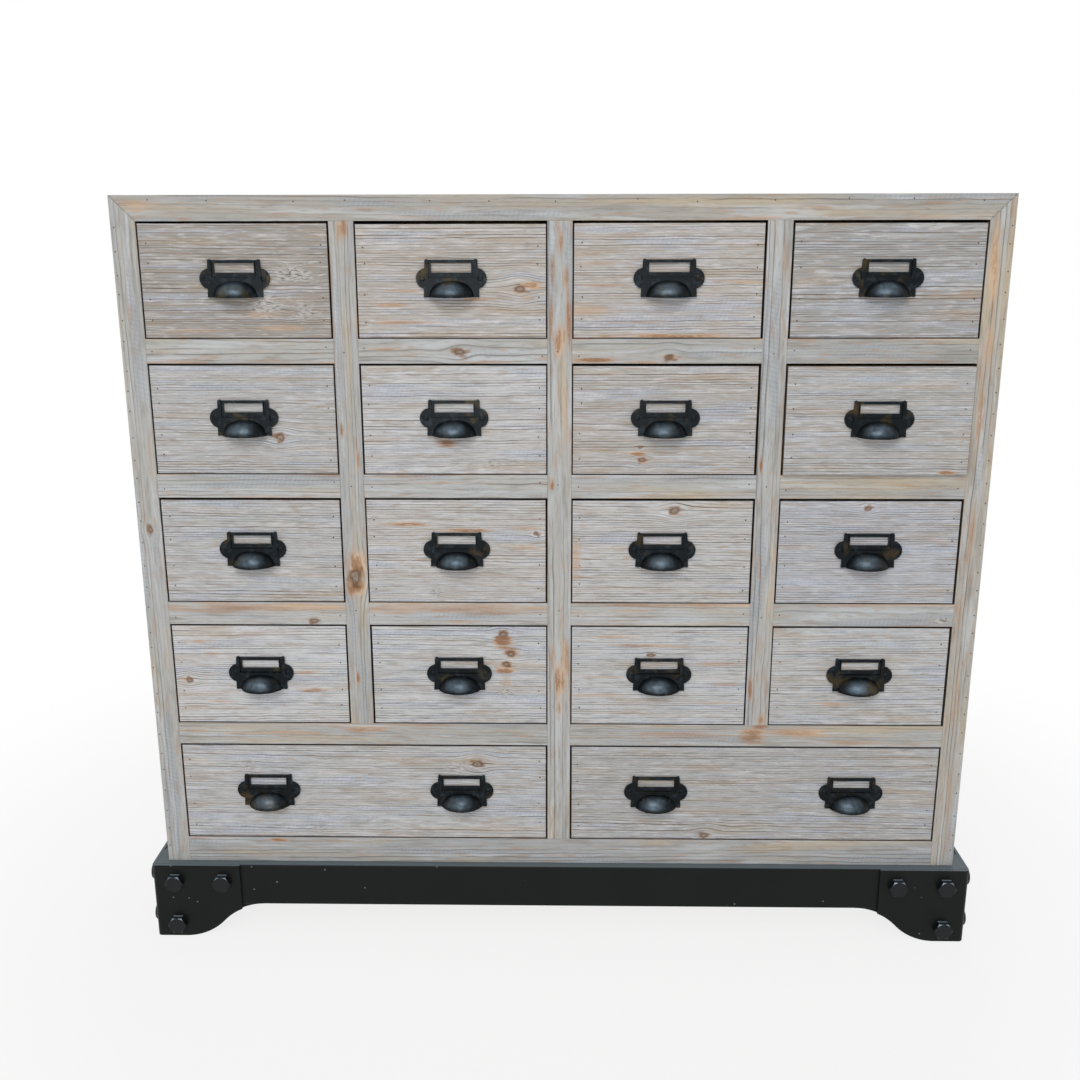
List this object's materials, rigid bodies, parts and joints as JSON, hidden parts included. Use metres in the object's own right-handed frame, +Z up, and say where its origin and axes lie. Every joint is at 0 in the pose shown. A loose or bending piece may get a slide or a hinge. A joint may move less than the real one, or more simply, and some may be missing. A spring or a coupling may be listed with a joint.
{
  "type": "multi-drawer cabinet",
  "caption": "Chest of small drawers over wide ones in washed wood, with cast cup pulls, on a bolted steel plinth.",
  "frame": {"origin": "on the floor, under the middle of the cabinet", "axes": "+X to the right seen from the front, +Y from the drawer fronts to the back, +Z up"},
  "size_m": [1.1286, 0.4229, 0.986],
  "materials": {
    "plinth_steel": "satin",
    "bolts": "satin",
    "inner_wood": "matte",
    "plywood": "matte",
    "washed_frame_wood": "matte",
    "washed_drawer_wood": "matte",
    "pull_iron": "satin"
  },
  "bodies": {
    "root": {"base_rail_front": "plinth_steel", "base_rail_back": "plinth_steel", "base_rail_left": "plinth_steel", "base_rail_right": "plinth_steel", "corner_foot_front_left": "plinth_steel", "corner_foot_front_right": "plinth_steel", "corner_foot_back_left": "plinth_steel", "corner_foot_back_right": "plinth_steel", "base_bolts": "bolts", "side_panel_left": "washed_frame_wood", "side_panel_right": "washed_frame_wood", "top_panel": "washed_frame_wood", "bottom_panel": "inner_wood", "back_panel": "plywood", "partitions": "inner_wood", "shelves": "inner_wood", "drawer_runners": "inner_wood", "drawer_guides": "inner_wood", "stiles_outer": "washed_frame_wood", "stile_center": "washed_frame_wood", "stiles_inner": "washed_frame_wood", "rail_top": "washed_frame_wood", "rail_bottom": "washed_frame_wood", "rails_cross": "washed_frame_wood"},
    "drawer_r1_c1": {"drawer_r1_c1": "washed_drawer_wood", "pull_r1_c1": "pull_iron"},
    "drawer_r1_c2": {"drawer_r1_c2": "washed_drawer_wood", "pull_r1_c2": "pull_iron"},
    "drawer_r1_c3": {"drawer_r1_c3": "washed_drawer_wood", "pull_r1_c3": "pull_iron"},
    "drawer_r1_c4": {"drawer_r1_c4": "washed_drawer_wood", "pull_r1_c4": "pull_iron"},
    "drawer_r2_c1": {"drawer_r2_c1": "washed_drawer_wood", "pull_r2_c1": "pull_iron"},
    "drawer_r2_c2": {"drawer_r2_c2": "washed_drawer_wood", "pull_r2_c2": "pull_iron"},
    "drawer_r2_c3": {"drawer_r2_c3": "washed_drawer_wood", "pull_r2_c3": "pull_iron"},
    "drawer_r2_c4": {"drawer_r2_c4": "washed_drawer_wood", "pull_r2_c4": "pull_iron"},
    "drawer_r3_c1": {"drawer_r3_c1": "washed_drawer_wood", "pull_r3_c1": "pull_iron"},
    "drawer_r3_c2": {"drawer_r3_c2": "washed_drawer_wood", "pull_r3_c2": "pull_iron"},
    "drawer_r3_c3": {"drawer_r3_c3": "washed_drawer_wood", "pull_r3_c3": "pull_iron"},
    "drawer_r3_c4": {"drawer_r3_c4": "washed_drawer_wood", "pull_r3_c4": "pull_iron"},
    "drawer_r4_c1": {"drawer_r4_c1": "washed_drawer_wood", "pull_r4_c1": "pull_iron"},
    "drawer_r4_c2": {"drawer_r4_c2": "washed_drawer_wood", "pull_r4_c2": "pull_iron"},
    "drawer_r4_c3": {"drawer_r4_c3": "washed_drawer_wood", "pull_r4_c3": "pull_iron"},
    "drawer_r4_c4": {"drawer_r4_c4": "washed_drawer_wood", "pull_r4_c4": "pull_iron"},
    "drawer_wide_left": {"drawer_wide_left": "washed_drawer_wood", "pull_wide_left": "pull_iron"},
    "drawer_wide_right": {"drawer_wide_right": "washed_drawer_wood", "pull_wide_right": "pull_iron"}
  },
  "joints": [
    {"name": "slide_r1_c1", "type": "slide", "parent": "root", "child": "drawer_r1_c1", "axis": [0, -1, 0], "range_m": [0, 0.25]},
    {"name": "slide_r1_c2", "type": "slide", "parent": "root", "child": "drawer_r1_c2", "axis": [0, -1, 0], "range_m": [0, 0.25]},
    {"name": "slide_r1_c3", "type": "slide", "parent": "root", "child": "drawer_r1_c3", "axis": [0, -1, 0], "range_m": [0, 0.25]},
    {"name": "slide_r1_c4", "type": "slide", "parent": "root", "child": "drawer_r1_c4", "axis": [0, -1, 0], "range_m": [0, 0.25]},
    {"name": "slide_r2_c1", "type": "slide", "parent": "root", "child": "drawer_r2_c1", "axis": [0, -1, 0], "range_m": [0, 0.25]},
    {"name": "slide_r2_c2", "type": "slide", "parent": "root", "child": "drawer_r2_c2", "axis": [0, -1, 0], "range_m": [0, 0.25]},
    {"name": "slide_r2_c3", "type": "slide", "parent": "root", "child": "drawer_r2_c3", "axis": [0, -1, 0], "range_m": [0, 0.25]},
    {"name": "slide_r2_c4", "type": "slide", "parent": "root", "child": "drawer_r2_c4", "axis": [0, -1, 0], "range_m": [-0.007, 0.243]},
    {"name": "slide_r3_c1", "type": "slide", "parent": "root", "child": "drawer_r3_c1", "axis": [0, -1, 0], "range_m": [0, 0.25]},
    {"name": "slide_r3_c2", "type": "slide", "parent": "root", "child": "drawer_r3_c2", "axis": [0, -1, 0], "range_m": [0, 0.25]},
    {"name": "slide_r3_c3", "type": "slide", "parent": "root", "child": "drawer_r3_c3", "axis": [0, -1, 0], "range_m": [0, 0.25]},
    {"name": "slide_r3_c4", "type": "slide", "parent": "root", "child": "drawer_r3_c4", "axis": [0, -1, 0], "range_m": [0, 0.25]},
    {"name": "slide_r4_c1", "type": "slide", "parent": "root", "child": "drawer_r4_c1", "axis": [0, -1, 0], "range_m": [0, 0.25]},
    {"name": "slide_r4_c2", "type": "slide", "parent": "root", "child": "drawer_r4_c2", "axis": [0, -1, 0], "range_m": [0, 0.25]},
    {"name": "slide_r4_c3", "type": "slide", "parent": "root", "child": "drawer_r4_c3", "axis": [0, -1, 0], "range_m": [0, 0.25]},
    {"name": "slide_r4_c4", "type": "slide", "parent": "root", "child": "drawer_r4_c4", "axis": [0, -1, 0], "range_m": [0, 0.25]},
    {"name": "slide_wide_left", "type": "slide", "parent": "root", "child": "drawer_wide_left", "axis": [0, -1, 0], "range_m": [0, 0.25]},
    {"name": "slide_wide_right", "type": "slide", "parent": "root", "child": "drawer_wide_right", "axis": [0, -1, 0], "range_m": [0, 0.25]}
  ]
}
